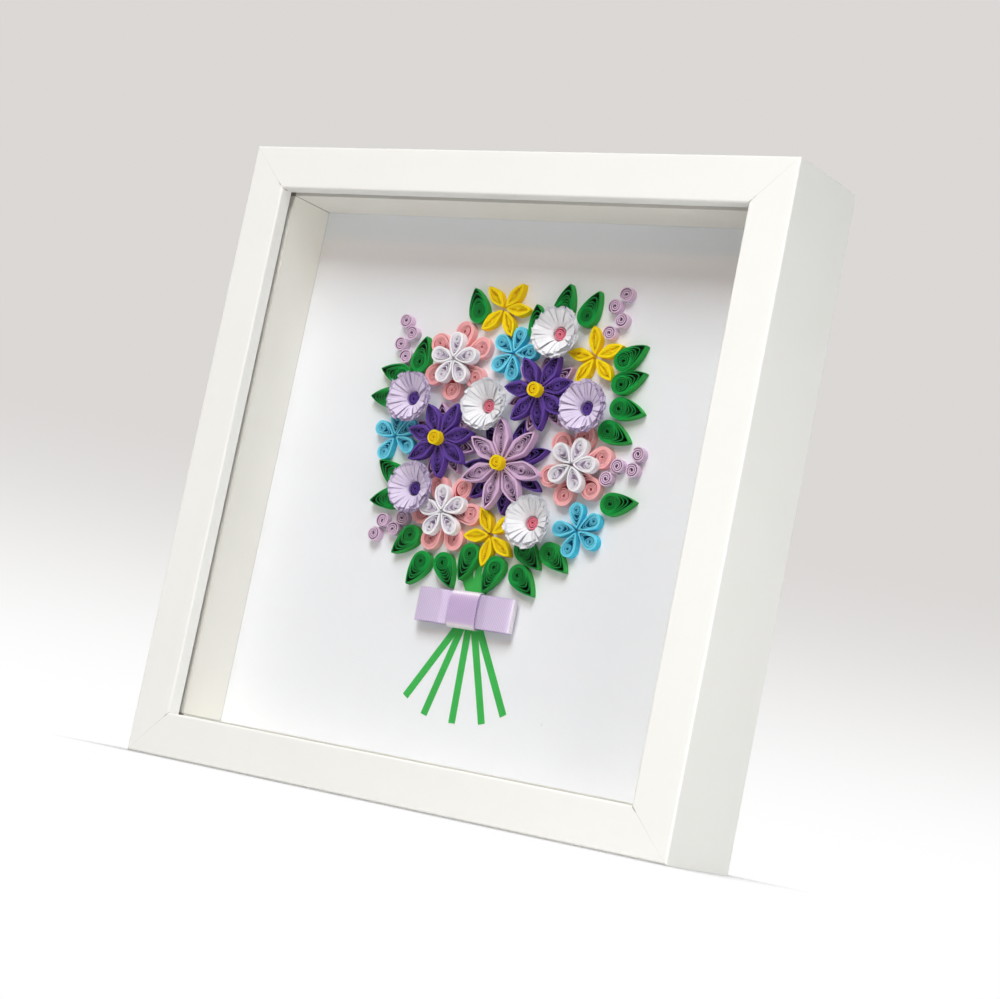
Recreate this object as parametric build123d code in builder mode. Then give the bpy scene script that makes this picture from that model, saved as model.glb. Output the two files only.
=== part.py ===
from build123d import *
import os
from math import acos, atan2, cos, degrees, hypot, radians, remainder, sin, tau

# A quilled paper bouquet on a white card, in a square box frame that stands or hangs.
# +X runs to the right, +Y from the front to the back and +Z up.
# The origin is the middle of the frame's underside. All sizes are in millimetres.

os.makedirs("parts", exist_ok=True)

# Box frame: outer size, section of its rails and rounding of their edges
FRAME_WIDTH = 250.0
FRAME_HEIGHT = 250.0
FRAME_DEPTH = 45.0
RAIL_FACE = 17.5
RAIL_WALL = 9.5
LIP_DEPTH = 6.0
FRONT_ROUNDING = 0.9
REAR_ROUNDING = 0.5
MITRE = 45

# Sheets and spacers in the rabbet, from the front to the back
SHEET_PLAY = 0.5
GLAZING_THICKNESS = 2.0
SPACER_DEPTH = 23.0
SPACER_WALL = 8.2
CARD_THICKNESS = 0.5
BACK_THICKNESS = 2.5

# Steel tabs that hold the back panel, and nails that hold the mitres
TAB_WIDTH = 8.0
TAB_THICKNESS = 0.6
TAB_BITE = 5.0
TAB_REACH = 9.0
TAB_PITCH = 120.0
TAB_ROUNDING = 2.0
NAIL_THICKNESS = 0.6
NAIL_MARGIN = 2.5
NAIL_LENGTH = 10.0

# Sawtooth hanger on the back panel, and its two rivets
HANGER_LENGTH = 46.0
HANGER_WIDTH = 9.0
HANGER_STEEL = 0.8
HANGER_RAISE = 1.8
HANGER_FOOT = 9.0
HANGER_DROP = 30.0
TOOTH_PITCH = 3.0
TOOTH_DEPTH = 1.6
TOOTH_COUNT = 7
RIVET_RADIUS = 1.2
RIVET_PLAY = 0.05
RIVET_HEAD_RADIUS = 2.4
RIVET_HEAD_HEIGHT = 1.0

# Quilling paper: the width of a strip stands up from the card, its thickness shows from the front
STRIP_WIDTH = 3.2
PAPER = 0.3
LAP = 1.4
HEART = 0.2
DRAW_OUT = 2.0
TURN_ARCS = 8
POINT_EASE = 0.8
LEAF_FULLNESS = 0.72
DROP_FULLNESS = 0.85
STAR_FULLNESS = 0.55

# Coils: length, width and number of turns
LEAF_LENGTH = 15.2
LEAF_WIDTH = 8.8
LEAF_TURNS = 4
YELLOW_LENGTH = 11.9
YELLOW_WIDTH = 5.0
BLUE_LENGTH = 10.5
BLUE_WIDTH = 6.3
PINK_LENGTH = 15.7
PINK_WIDTH = 8.9
WHITE_LENGTH = 10.5
WHITE_WIDTH = 6.3
STAR_LENGTH = 14.7
STAR_WIDTH = 6.2
UNDERSTAR_LENGTH = 14.7
UNDERSTAR_WIDTH = 5.9
BIG_STAR_LENGTH = 17.4
BIG_STAR_WIDTH = 6.8
BIG_UNDERSTAR_LENGTH = 18.4
BIG_UNDERSTAR_WIDTH = 5.6
PETAL_TURNS = 3
BERRY_DIAMETER = 5.8
BERRY_TURNS = 5
STAR_CENTRE_DIAMETER = 6.0

# Gap between the middle of a flower and the points of its petals
ROUND_FLOWER_GAP = 0.4
YELLOW_FLOWER_GAP = 0.7
STAR_FLOWER_GAP = 1.2

# Fringed flowers: a coil in a rolled strip whose cut edge is spread out
FRINGE_CENTRE_DIAMETER = 5.2
FRINGE_CENTRE_HEIGHT = 5.0
FRINGE_CENTRE_PLAY = 0.1
FRINGE_WALL = 0.5
FRINGE_ROOT = 3.2
FRINGE_RIM_RADIUS = 10.2
FRINGE_RIM_HEIGHT = 9.0
FRINGE_BELLY_OUT = 0.27
FRINGE_BELLY_UP = 0.63
FRINGE_CUTS = 22
FRINGE_CUT_WIDTH = 0.35

# Stems and bow
STEM_WIDTH = 3.0
STEM_TUCK = 26.0
STEM_THICKNESS = 0.3
RIBBON_WIDTH = 13.0
RIBBON_THICKNESS = 0.5
BOW_LENGTH = 46.0
BOW_HEIGHT = 4.2
BAND_WIDTH = 13.0
BAND_PLAY = 0.1
BAND_ROUNDING = 1.0

# Places on the card: right and up from its middle, then directions in degrees
YELLOW_FLOWERS = [
    ((-7.5, 70.4), (0, 56, 138, 226, 299)),
    ((38.2, 54.0), (21, 104, 175.5, 238, 317)),
    ((7.6, -18.0), (45, 124, 187, 264, 325)),
]
BLUE_FLOWERS = [
    ((1.0, 53.0), (8, 79, 147, 216.5, 277)),
    ((-47.2, 16.1), (-25, 35.5, 95, 158, 239)),
    ((45.2, -12.1), (-28, 33, 103, 180, 253)),
]
PINK_FLOWERS = [
    ((-24.5, 48.4), (30, 86, 147, 212, 269.5, 328), (15, 90, 169, 238.6, 307)),
    ((39.1, 11.9), (21.5, 84, 133, 204, 256, 317), (5, 71.6, 141, 215.5, 294)),
    ((-15.3, -11.7), (3, 61.5, 120, 185, 245, 302), (27, 101, 170.5, 236, 315)),
]
PURPLE_STARS = [
    ((17.8, 38.7), (17, 66, 127, 179, 231, 283, 328), (43, 92, 142, 202, 258, 310, 355)),
    ((-23.6, 16.5), (14, 68, 122, 171, 215, 281.5, 327), (45, 106, 155, 205, 256, 309, 350)),
]
LILAC_STAR = ((7.6, 9.3), (47, 103, 150, 204, 259.5, 307, 350.5), (24, 74, 130, 185, 226, 278, 335))
WHITE_FRINGES = [(21.3, 61.5), (-4.6, 31.2), (25.8, -11.7)]
LILAC_FRINGES = [(-41.0, 31.7), (39.9, 33.9), (-31.4, -3.9)]
LEAVES = {
    "top_leaves": [(-19.3, 68.1, 111), (10.0, 62.8, 105), (19.3, 71.2, 82), (30.7, 69.6, 69)],
    "left_leaves": [
        (-42.8, 46.6, 84),
        (-50.2, 40.8, 170),
        (-52.4, 31.4, 181),
        (-43.2, 0.6, 148),
        (-42.5, -8.3, 192),
    ],
    "right_leaves": [
        (51.1, 53.7, 37),
        (52.6, 44.8, 27),
        (54.9, 35.2, -7),
        (51.2, 26.3, -19),
        (58.2, -0.8, 11),
    ],
    "lower_leaves": [
        (-29.8, -22.1, 226),
        (-22.1, -31.6, 241),
        (-12.0, -30.9, 302),
        (23.3, -31.6, 318),
        (23.5, -21.6, 320),
        (35.2, -21.6, 323),
    ],
    "stem_leaves": [(-0.2, -26.3, 255), (12.3, -30.2, 251)],
}
BERRIES = {
    "upper_left_berries": [(-53.5, 63.0), (-49.4, 58.0), (-53.9, 53.6), (-50.2, 48.4)],
    "upper_right_berries": [(46.6, 78.8), (42.5, 73.9), (46.5, 68.8), (42.4, 63.6)],
    "right_berries": [(65.0, 18.7), (57.3, 13.6), (63.8, 12.6), (53.5, 8.5)],
    "lower_left_berries": [(-44.8, -17.5), (-47.8, -23.2), (-38.9, -20.4), (-35.6, -15.4)],
}
# Each stem: its foot's place across and its height above the lower spacer, then where it passes under the bow
STEMS = [
    ((-18.8, 23.3), (-2.0, -55.5)),
    ((-8.6, 17.6), (0.5, -55.5)),
    ((5.0, 16.3), (4.0, -55.0)),
    ((18.5, 18.0), (7.0, -55.0)),
    ((27.4, 22.4), (9.5, -54.5)),
]
BOW_PLACE = (3.6, -47.6)

# Sizes that follow from the ones above
FRONT = -FRAME_DEPTH / 2
SPACER_SEAT = LIP_DEPTH + GLAZING_THICKNESS
CARD_SEAT = SPACER_SEAT + SPACER_DEPTH
BACK_SEAT = CARD_SEAT + CARD_THICKNESS
TAB_SEAT = BACK_SEAT + BACK_THICKNESS
SHEET_INSET = RAIL_WALL + SHEET_PLAY
SHEET_WIDTH = FRAME_WIDTH - 2 * SHEET_INSET
SHEET_HEIGHT = FRAME_HEIGHT - 2 * SHEET_INSET
WINDOW_FLOOR = SPACER_WALL - SHEET_HEIGHT / 2
SECOND_LAYER = STRIP_WIDTH
THIRD_LAYER = 2 * STRIP_WIDTH

# Planes: the frame's front, and the card with its outward side towards the viewer
front = Plane(origin=(0, FRONT, FRAME_HEIGHT / 2), x_dir=(-1, 0, 0), z_dir=(0, 1, 0))
card = Plane(origin=(0, FRONT + CARD_SEAT, FRAME_HEIGHT / 2), x_dir=(1, 0, 0), z_dir=(0, -1, 0))
# Each side of the frame: the way from its outer edge inwards, its length and its distance from the middle
SIDES = {
    "top": ((0, 0, -1), FRAME_WIDTH, FRAME_HEIGHT / 2),
    "bottom": ((0, 0, 1), FRAME_WIDTH, FRAME_HEIGHT / 2),
    "left": ((1, 0, 0), FRAME_HEIGHT, FRAME_WIDTH / 2),
    "right": ((-1, 0, 0), FRAME_HEIGHT, FRAME_WIDTH / 2),
}


def save(piece, name):
    """Label a finished piece and write it to its own file."""
    piece.part.label = name
    export_step(piece.part, f"parts/{name}.step")


def side_planes(side):
    """A side's two planes at the middle of its outer front edge: seen from the front, and its section."""
    inward, _, distance = SIDES[side]
    inward = Vector(*inward)
    along = inward.cross(Vector(0, 1, 0))
    edge = front.origin - inward * distance
    return Plane(edge, x_dir=along, z_dir=(0, 1, 0)), Plane(edge, x_dir=inward, z_dir=along)


# Frame rails: a bar with a lip in front, mitred at both ends, with slots for the tabs and nails
def nail_outline(half_width, half_height):
    """A nail's bent section at one corner of the frame: two wings that lie in the two rails."""
    right = 1 if half_width > 0 else -1
    up = 1 if half_height > 0 else -1
    inner = RAIL_WALL - NAIL_MARGIN
    heel_x = half_width - right * inner
    heel_y = half_height - up * inner
    end_x = half_width - right * NAIL_MARGIN
    end_y = half_height - up * NAIL_MARGIN
    Polyline(
        (heel_x, heel_y),
        (end_x, heel_y),
        (end_x, heel_y + up * NAIL_THICKNESS),
        (heel_x + right * NAIL_THICKNESS, heel_y + up * NAIL_THICKNESS),
        (heel_x + right * NAIL_THICKNESS, end_y),
        (heel_x, end_y),
        close=True,
    )


CORNERS = [(i * FRAME_WIDTH / 2, j * FRAME_HEIGHT / 2) for i in (-1, 1) for j in (-1, 1)]
nail_plane = front.offset(FRAME_DEPTH - NAIL_LENGTH)

for side in SIDES:
    face, section = side_planes(side)
    run = SIDES[side][1]
    with BuildPart() as rail:
        with BuildSketch(face):
            Trapezoid(run, RAIL_FACE, MITRE, align=(Align.CENTER, Align.MIN))
        extrude(amount=FRAME_DEPTH)
        with BuildSketch(section) as profile:
            with BuildLine():
                Polyline(
                    (0, 0),
                    (RAIL_FACE, 0),
                    (RAIL_FACE, LIP_DEPTH),
                    (RAIL_WALL, LIP_DEPTH),
                    (RAIL_WALL, FRAME_DEPTH),
                    (0, FRAME_DEPTH),
                    close=True,
                )
            make_face()
            fillet(profile.vertices().group_by(Axis.Y)[0], FRONT_ROUNDING)
            fillet(profile.vertices().group_by(Axis.Y)[-1].sort_by(Axis.X)[0], REAR_ROUNDING)
        extrude(amount=run / 2, both=True, mode=Mode.INTERSECT)
        with BuildSketch(face.offset(TAB_SEAT)):
            with Locations((-TAB_PITCH / 2, RAIL_WALL), (TAB_PITCH / 2, RAIL_WALL)):
                Rectangle(TAB_WIDTH, TAB_BITE, align=(Align.CENTER, Align.MAX))
        extrude(amount=TAB_THICKNESS, mode=Mode.SUBTRACT)
        with BuildSketch(nail_plane):
            for corner in CORNERS:
                with BuildLine():
                    nail_outline(*corner)
                make_face()
        extrude(amount=NAIL_LENGTH, mode=Mode.SUBTRACT)
    save(rail, f"{side}_rail")

with BuildPart() as corner_nails:
    with BuildSketch(nail_plane):
        for corner in CORNERS:
            with BuildLine():
                nail_outline(*corner)
            make_face()
    extrude(amount=NAIL_LENGTH)
save(corner_nails, "corner_nails")

# Glazing, spacers, card and back panel
with BuildPart() as glazing:
    with BuildSketch(front.offset(LIP_DEPTH)):
        Rectangle(SHEET_WIDTH, SHEET_HEIGHT)
    extrude(amount=GLAZING_THICKNESS)
save(glazing, "glazing")

for side in SIDES:
    face, _ = side_planes(side)
    run = SIDES[side][1] - 2 * SHEET_INSET
    with BuildPart() as spacer:
        with BuildSketch(face.offset(SPACER_SEAT)):
            with Locations((0, SHEET_INSET)):
                Trapezoid(run, SPACER_WALL, MITRE, align=(Align.CENTER, Align.MIN))
        extrude(amount=SPACER_DEPTH)
    save(spacer, f"{side}_spacer")

with BuildPart() as background_card:
    with BuildSketch(front.offset(CARD_SEAT)):
        Rectangle(SHEET_WIDTH, SHEET_HEIGHT)
    extrude(amount=CARD_THICKNESS)
save(background_card, "background_card")

hanger_height = SHEET_HEIGHT / 2 - HANGER_DROP
rivet_spread = HANGER_LENGTH / 2 - HANGER_FOOT / 2
RIVETS = [(-rivet_spread, hanger_height), (rivet_spread, hanger_height)]

with BuildPart() as back_panel:
    with BuildSketch(front.offset(BACK_SEAT)):
        Rectangle(SHEET_WIDTH, SHEET_HEIGHT)
        with Locations(*RIVETS):
            Circle(RIVET_RADIUS + RIVET_PLAY, mode=Mode.SUBTRACT)
    extrude(amount=BACK_THICKNESS)
save(back_panel, "back_panel")

# Retaining tabs: two on each side, bent over the back panel
with BuildPart() as retaining_tabs:
    for side in SIDES:
        face, _ = side_planes(side)
        with BuildSketch(face.offset(TAB_SEAT)) as tabs:
            with Locations((-TAB_PITCH / 2, RAIL_WALL - TAB_BITE), (TAB_PITCH / 2, RAIL_WALL - TAB_BITE)):
                Rectangle(TAB_WIDTH, TAB_BITE + TAB_REACH, align=(Align.CENTER, Align.MIN))
            fillet(tabs.vertices().group_by(Axis.Y)[-1], TAB_ROUNDING)
        extrude(amount=TAB_THICKNESS)
save(retaining_tabs, "retaining_tabs")

# Sawtooth hanger: two flat feet, a raised bridge, and teeth along the bridge's lower edge
panel_rear = front.offset(TAB_SEAT)
hanger_foot_plane = Plane(
    origin=panel_rear.from_local_coords((0, hanger_height - HANGER_WIDTH / 2, 0)),
    x_dir=(1, 0, 0),
    z_dir=(0, 0, 1),
)
bridge_half = HANGER_LENGTH / 2 - HANGER_FOOT
tooth_flank = hypot(TOOTH_PITCH / 2, TOOTH_DEPTH)
with BuildPart() as sawtooth_hanger:
    with BuildSketch(hanger_foot_plane):
        with BuildLine():
            Polyline(
                (-HANGER_LENGTH / 2, 0),
                (-bridge_half, 0),
                (-bridge_half + HANGER_RAISE, HANGER_RAISE),
                (bridge_half - HANGER_RAISE, HANGER_RAISE),
                (bridge_half, 0),
                (HANGER_LENGTH / 2, 0),
                (HANGER_LENGTH / 2, HANGER_STEEL),
                (bridge_half, HANGER_STEEL),
                (bridge_half - HANGER_RAISE, HANGER_RAISE + HANGER_STEEL),
                (-bridge_half + HANGER_RAISE, HANGER_RAISE + HANGER_STEEL),
                (-bridge_half, HANGER_STEEL),
                (-HANGER_LENGTH / 2, HANGER_STEEL),
                close=True,
            )
        make_face()
    extrude(amount=HANGER_WIDTH)
    with BuildSketch(panel_rear):
        with Locations((0, hanger_height - HANGER_WIDTH / 2)):
            with GridLocations(TOOTH_PITCH, 0, TOOTH_COUNT, 1):
                Triangle(c=TOOTH_PITCH, a=tooth_flank, b=tooth_flank, align=(Align.CENTER, Align.MIN))
        with Locations(*RIVETS):
            Circle(RIVET_RADIUS + RIVET_PLAY)
    extrude(amount=HANGER_RAISE + HANGER_STEEL, mode=Mode.SUBTRACT)
save(sawtooth_hanger, "sawtooth_hanger")

with BuildPart() as hanger_rivets:
    with BuildSketch(front.offset(BACK_SEAT)):
        with Locations(*RIVETS):
            Circle(RIVET_RADIUS)
    extrude(amount=BACK_THICKNESS + HANGER_STEEL)
    with BuildSketch(panel_rear.offset(HANGER_STEEL)):
        with Locations(*RIVETS):
            Circle(RIVET_HEAD_RADIUS)
    extrude(amount=RIVET_HEAD_HEIGHT)
    fillet(hanger_rivets.edges().group_by(Axis.Y)[-1], RIVET_HEAD_HEIGHT / 2)
save(hanger_rivets, "hanger_rivets")


# Quilled coils: a strip wound from its heart outwards, then pinched to one point, two points or none
def coil(length, width, points, fullness, turns, height=STRIP_WIDTH):
    """A coil with its heart at the origin and its point along +X, and the distance from heart to point."""
    bulb = width / 2
    reach = length - bulb if points == 1 else length / 2
    lap = 1 - LAP * PAPER / bulb

    def growth(turn):
        if turn <= turns - 1:
            return HEART + (lap - HEART) * turn / (turns - 1)
        return lap + (1 - lap) * (turn - turns + 1)

    def wall_point(turn, inset):
        round_part = bulb * growth(turn)
        drawn_part = round_part + (reach - bulb) * growth(turn) ** DRAW_OUT
        flare = acos((round_part / drawn_part) ** (1 / fullness))
        off_point = abs(remainder(turn * tau, tau / max(points, 1)))
        distance = round_part * cos(max(flare - off_point, 0)) ** -fullness
        distance *= 1 - inset / round_part
        return (distance * cos(turn * tau), distance * sin(turn * tau))

    stretches = turns * max(points, 1)
    arcs = TURN_ARCS // max(points, 1)
    shares = [half_arc / (2 * arcs) for half_arc in range(2 * arcs + 1)]
    eased = [share - POINT_EASE * sin(tau * share) / tau for share in shares]
    with BuildPart() as roll:
        with BuildSketch():
            with BuildLine():
                for inset in (0, PAPER):
                    for stretch in range(stretches):
                        passed = [wall_point((stretch + share) * turns / stretches, inset) for share in eased]
                        for first in range(0, 2 * arcs, 2):
                            ThreePointArc(*passed[first : first + 3])
                Line(wall_point(0, 0), wall_point(0, PAPER))
                Line(wall_point(turns, 0), wall_point(turns, PAPER))
            make_face()
        extrude(amount=height)
    return roll.part, reach


def flower(name, centre, directions, petal, gap, level, outward):
    """Petals set round a centre with their inner points at the gap; outward says which way they point."""
    shape, reach = petal
    turned = 0 if outward else 180
    places = [
        Location(
            (centre[0] + (gap + reach) * cos(radians(d)), centre[1] + (gap + reach) * sin(radians(d)), 0),
            (0, 0, d + turned),
        )
        for d in directions
    ]
    with BuildPart(card.offset(level)) as bloom:
        with Locations(*places):
            add(shape)
    save(bloom, name)


def group(name, places, piece, level):
    """Like pieces on the card, each at a place with an optional direction."""
    shape, _ = piece
    spots = [Location((place[0], place[1], 0), (0, 0, place[2] if len(place) > 2 else 0)) for place in places]
    with BuildPart(card.offset(level)) as bunch:
        with Locations(*spots):
            add(shape)
    save(bunch, name)


leaf = coil(LEAF_LENGTH, LEAF_WIDTH, 1, LEAF_FULLNESS, LEAF_TURNS)
yellow_petal = coil(YELLOW_LENGTH, YELLOW_WIDTH, 2, STAR_FULLNESS, PETAL_TURNS)
blue_petal = coil(BLUE_LENGTH, BLUE_WIDTH, 1, DROP_FULLNESS, PETAL_TURNS)
pink_petal = coil(PINK_LENGTH, PINK_WIDTH, 1, DROP_FULLNESS, LEAF_TURNS)
white_petal = coil(WHITE_LENGTH, WHITE_WIDTH, 1, DROP_FULLNESS, PETAL_TURNS)
star_petal = coil(STAR_LENGTH, STAR_WIDTH, 2, STAR_FULLNESS, PETAL_TURNS)
understar_petal = coil(UNDERSTAR_LENGTH, UNDERSTAR_WIDTH, 2, STAR_FULLNESS, PETAL_TURNS)
big_star_petal = coil(BIG_STAR_LENGTH, BIG_STAR_WIDTH, 2, STAR_FULLNESS, PETAL_TURNS)
big_understar_petal = coil(BIG_UNDERSTAR_LENGTH, BIG_UNDERSTAR_WIDTH, 2, STAR_FULLNESS, PETAL_TURNS)
berry = coil(BERRY_DIAMETER, BERRY_DIAMETER, 0, 1, BERRY_TURNS)
star_centre = coil(STAR_CENTRE_DIAMETER, STAR_CENTRE_DIAMETER, 0, 1, BERRY_TURNS)
fringe_centre = coil(
    FRINGE_CENTRE_DIAMETER, FRINGE_CENTRE_DIAMETER, 0, 1, BERRY_TURNS, height=FRINGE_CENTRE_HEIGHT
)

# Leaves, berries and the flowers that lie on the card; what crosses the stems lies on them
for name, places in LEAVES.items():
    group(name, places, leaf, STEM_THICKNESS if name == "stem_leaves" else 0)
for name, places in BERRIES.items():
    group(name, places, berry, 0)
for number, (centre, directions) in enumerate(YELLOW_FLOWERS, 1):
    level = STEM_THICKNESS if number == len(YELLOW_FLOWERS) else 0
    flower(f"yellow_flower_{number}", centre, directions, yellow_petal, YELLOW_FLOWER_GAP, level, True)
for number, (centre, directions) in enumerate(BLUE_FLOWERS, 1):
    flower(f"blue_flower_{number}", centre, directions, blue_petal, ROUND_FLOWER_GAP, 0, False)

# Double flowers: white on pink, purple on lilac, and one lilac on purple, with coiled centres
for number, (centre, lower, upper) in enumerate(PINK_FLOWERS, 1):
    flower(f"pink_flower_{number}", centre, lower, pink_petal, ROUND_FLOWER_GAP, 0, False)
    flower(f"white_flower_{number}", centre, upper, white_petal, ROUND_FLOWER_GAP, SECOND_LAYER, False)
for number, (centre, upper, lower) in enumerate(PURPLE_STARS, 1):
    flower(f"lilac_underflower_{number}", centre, lower, understar_petal, STAR_FLOWER_GAP, 0, True)
    flower(f"purple_flower_{number}", centre, upper, star_petal, STAR_FLOWER_GAP, SECOND_LAYER, True)
    group(f"yellow_centre_{number}", [centre], star_centre, THIRD_LAYER)
centre, upper, lower = LILAC_STAR
flower("purple_underflower", centre, lower, big_understar_petal, STAR_FLOWER_GAP, 0, True)
flower("lilac_flower", centre, upper, big_star_petal, STAR_FLOWER_GAP, SECOND_LAYER, True)
group("yellow_centre_3", [centre], star_centre, THIRD_LAYER)

# Fringed flowers: a tube round the coiled centre, cut into narrow petals that open like a trumpet
root_inside = FRINGE_CENTRE_DIAMETER / 2 + FRINGE_CENTRE_PLAY
root_outside = root_inside + FRINGE_WALL
spread = FRINGE_RIM_RADIUS - root_outside
rise = FRINGE_RIM_HEIGHT - FRINGE_ROOT
slit = degrees(FRINGE_CUT_WIDTH / FRINGE_RIM_RADIUS)
with BuildPart() as fringe_petal:
    with BuildSketch(Plane.XZ):
        with BuildLine():
            ThreePointArc(
                (root_outside, FRINGE_ROOT),
                (root_outside + spread * FRINGE_BELLY_OUT, FRINGE_ROOT + rise * FRINGE_BELLY_UP),
                (FRINGE_RIM_RADIUS, FRINGE_RIM_HEIGHT),
            )
            Line((FRINGE_RIM_RADIUS, FRINGE_RIM_HEIGHT), (FRINGE_RIM_RADIUS, FRINGE_RIM_HEIGHT + FRINGE_WALL))
            ThreePointArc(
                (FRINGE_RIM_RADIUS, FRINGE_RIM_HEIGHT + FRINGE_WALL),
                (root_inside + spread * FRINGE_BELLY_OUT, FRINGE_ROOT + FRINGE_WALL + rise * FRINGE_BELLY_UP),
                (root_inside, FRINGE_ROOT + FRINGE_WALL),
            )
            Polyline((root_inside, FRINGE_ROOT + FRINGE_WALL), (root_inside, FRINGE_ROOT), (root_outside, FRINGE_ROOT))
        make_face()
    revolve(axis=Axis.Z, revolution_arc=360 / FRINGE_CUTS - slit)

with BuildPart() as fringe:
    with BuildSketch():
        Circle(root_outside)
        Circle(root_inside, mode=Mode.SUBTRACT)
    extrude(amount=FRINGE_ROOT)
    with PolarLocations(0, FRINGE_CUTS):
        add(fringe_petal.part)

for colour, centre_colour, places in (("white", "pink", WHITE_FRINGES), ("lilac", "purple", LILAC_FRINGES)):
    for number, place in enumerate(places, 1):
        group(f"{colour}_fringe_{number}", [place], (fringe.part, 0), 0)
        group(f"{centre_colour}_centre_{number}", [place], fringe_centre, 0)

# Stems: five straight strips that cross under the bow, are glued together there and end under the flowers
with BuildPart() as stems:
    with BuildSketch(card):
        for (across, height), (tie_across, tie_up) in STEMS:
            foot_up = WINDOW_FLOOR + height
            slope = atan2(tie_up - foot_up, tie_across - across)
            length = hypot(tie_up - foot_up, tie_across - across) + STEM_TUCK
            with Locations(Location((across, foot_up, 0), (0, 0, degrees(slope)))):
                Rectangle(length, STEM_WIDTH, align=(Align.MIN, Align.CENTER))
    extrude(amount=STEM_THICKNESS)
save(stems, "stems")

# Bow: a flattened loop of ribbon, and a band wrapped round its middle
bow_height_on_card = STEM_THICKNESS + RIBBON_THICKNESS + BOW_HEIGHT / 2
band_inside = RIBBON_WIDTH + 2 * BAND_PLAY
bow_middle = card.from_local_coords((*BOW_PLACE, bow_height_on_card))
with BuildPart() as bow_loop:
    with BuildSketch(Plane(bow_middle, x_dir=(1, 0, 0), z_dir=(0, 0, 1))):
        SlotOverall(BOW_LENGTH, BOW_HEIGHT)
        SlotOverall(BOW_LENGTH - 2 * RIBBON_THICKNESS, BOW_HEIGHT - 2 * RIBBON_THICKNESS, mode=Mode.SUBTRACT)
    extrude(amount=RIBBON_WIDTH / 2, both=True)
save(bow_loop, "bow_loop")

with BuildPart() as bow_band:
    with BuildSketch(Plane(bow_middle, x_dir=(0, 0, 1), z_dir=(1, 0, 0))):
        RectangleRounded(band_inside + 2 * RIBBON_THICKNESS, BOW_HEIGHT + 2 * RIBBON_THICKNESS, BAND_ROUNDING)
        Rectangle(band_inside, BOW_HEIGHT, mode=Mode.SUBTRACT)
    extrude(amount=BAND_WIDTH / 2, both=True)
save(bow_band, "bow_band")
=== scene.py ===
# %% [markdown]
# # A quilled bouquet in a box frame
#
# Quilling is paper craft: narrow strips of coloured paper are rolled into coils, pinched into petals
# and leaves, and glued to a card by their edges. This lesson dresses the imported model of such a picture.
# The rigid frame keeps its solids and gets finishes. The paper and the ribbon are built anew, turn by
# turn, in the places that their solids hold.

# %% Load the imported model
from math import cos, radians, sin, tau

import bpy
import numpy as np
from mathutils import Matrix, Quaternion, Vector


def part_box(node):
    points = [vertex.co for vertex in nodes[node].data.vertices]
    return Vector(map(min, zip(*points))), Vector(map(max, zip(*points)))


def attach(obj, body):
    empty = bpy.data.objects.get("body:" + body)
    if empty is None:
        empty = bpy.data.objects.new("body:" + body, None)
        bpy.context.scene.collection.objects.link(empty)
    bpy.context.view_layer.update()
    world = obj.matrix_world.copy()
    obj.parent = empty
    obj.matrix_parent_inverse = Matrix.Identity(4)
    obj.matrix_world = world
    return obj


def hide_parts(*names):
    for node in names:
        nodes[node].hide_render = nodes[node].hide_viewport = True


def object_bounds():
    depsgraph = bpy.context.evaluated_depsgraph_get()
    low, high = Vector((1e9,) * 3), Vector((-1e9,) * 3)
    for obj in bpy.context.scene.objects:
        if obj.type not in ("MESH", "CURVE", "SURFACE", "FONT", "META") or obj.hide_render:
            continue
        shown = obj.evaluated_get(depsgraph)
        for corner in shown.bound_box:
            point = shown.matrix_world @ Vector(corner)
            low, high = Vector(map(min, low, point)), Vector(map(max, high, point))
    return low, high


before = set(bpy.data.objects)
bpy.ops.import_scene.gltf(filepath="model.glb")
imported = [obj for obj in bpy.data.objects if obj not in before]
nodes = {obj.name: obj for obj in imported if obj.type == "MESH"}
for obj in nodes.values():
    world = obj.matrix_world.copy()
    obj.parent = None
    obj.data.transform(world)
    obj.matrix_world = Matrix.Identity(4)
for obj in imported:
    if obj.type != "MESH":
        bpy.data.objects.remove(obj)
cad_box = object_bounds()
MM = 0.001
print(f"{len(nodes)} solids loaded, box {[round(n / MM, 1) for n in cad_box[1] - cad_box[0]]} mm")

# %% [markdown]
# ## Camera
#
# The picture looks at the frame from its right, a little from below its middle, through a long lens.
# A camera could be aimed with a constraint, but a direction and a roll angle say the same in two lines
# and leave nothing behind. The roll is there because the photographer tilted the frame, while the part
# stands upright.

# %% Camera
CAMERA_PLACE = Vector((0.53417, -0.74349, 0.01459))
CAMERA_AIM = Vector((0.01792, -0.00798, 0.11909))
CAMERA_ROLL = 11.47
LENS = 87.3

camera = bpy.data.objects.new("camera", bpy.data.cameras.new("camera"))
bpy.context.scene.collection.objects.link(camera)
camera.data.lens = LENS
camera.data.sensor_width = 36
camera.location = CAMERA_PLACE
straight = (CAMERA_AIM - CAMERA_PLACE).to_track_quat("-Z", "Y")
camera.rotation_mode = "QUATERNION"
camera.rotation_quaternion = straight @ Quaternion((0, 0, 1), radians(CAMERA_ROLL))
bpy.context.scene.camera = camera
print(f"camera {(CAMERA_AIM - CAMERA_PLACE).length:.2f} m from the bouquet")

# %% [markdown]
# ## Words for finishes
#
# A finish is a small network of nodes. Adding each node by hand hides the idea behind the bookkeeping,
# so a Wire stands for a value that travels through the network: arithmetic on it adds Math nodes.
# A Finish owns the network, and its one method `node` makes every other kind of node.


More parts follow.
